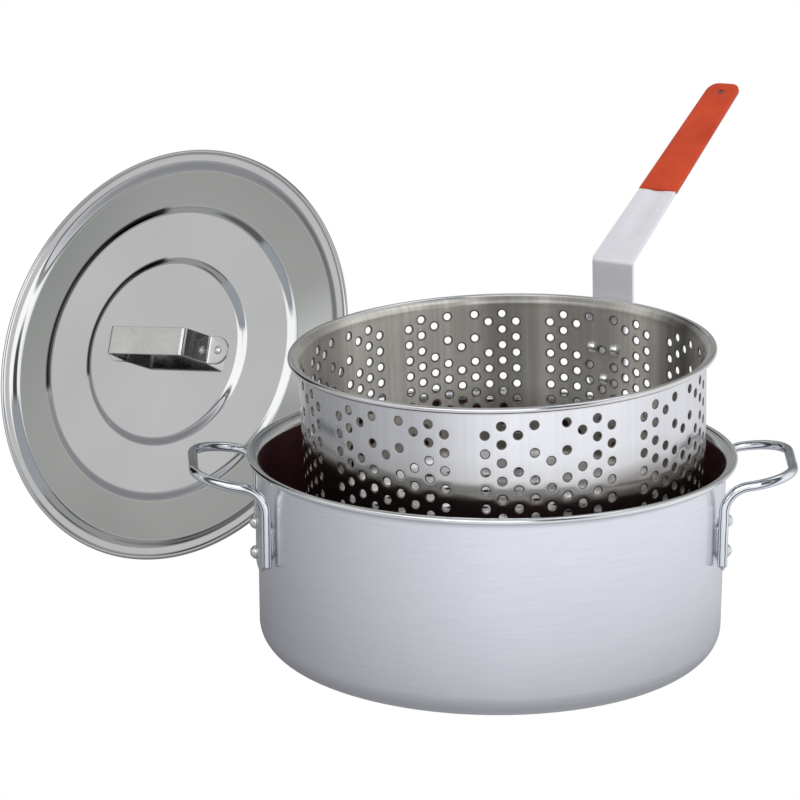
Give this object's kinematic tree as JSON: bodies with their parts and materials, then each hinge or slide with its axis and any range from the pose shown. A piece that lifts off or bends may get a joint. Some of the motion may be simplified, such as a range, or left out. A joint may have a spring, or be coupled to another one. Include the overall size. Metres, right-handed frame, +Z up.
{
  "type": "turkey fryer kit",
  "caption": "Wide open pot with rising wire loop handles, a perforated lift-out basket on a long coated strap handle, and a stepped polished lid leaning beside it.",
  "frame": {"origin": "centre of the pot's flat underside, on the surface that the kit stands on", "axes": "+Z is up along the pot's axis. The pot's handles are on the -X and +X sides, and the front is -Y. The basket's handle rises toward +X and +Y, and the lid stands behind, toward -X and +Y"},
  "size_m": [0.5819, 0.4621, 0.3408],
  "materials": {
    "pot": "satin brushed outside, dull inside",
    "plate": "satin",
    "wire": "bright plated",
    "rivet": "satin",
    "basket": "polished, fine vertical brushing inside",
    "strap": "satin",
    "grip": "smooth dipped vinyl, orange-red",
    "lid": "mirror polished stainless",
    "lid_strap": "polished stainless",
    "lid_rivet": "polished stainless"
  },
  "bodies": {
    "pot": {"pot_body": "pot", "left_handle_plate": "plate", "left_handle_loop": "wire", "left_handle_rivets": "rivet", "right_handle_plate": "plate", "right_handle_loop": "wire", "right_handle_rivets": "rivet"},
    "basket": {"basket_shell": "basket", "basket_handle_strap": "strap", "basket_handle_grip": "grip", "basket_upper_rivets": "rivet", "basket_lower_rivet": "rivet"},
    "lid": {"lid_shell": "lid", "lid_handle_strap": "lid_strap", "lid_handle_rivets": "lid_rivet"}
  },
  "joints": [
    {"name": "basket_lift", "type": "slide", "parent": "pot", "child": "basket", "axis": [0, 0, 1], "range_m": [-0.0665, 0.12]},
    {"name": "lid_lift", "type": "slide", "parent": "pot", "child": "lid", "axis": [0, 0, 1], "range_m": [0, 0.2]}
  ]
}
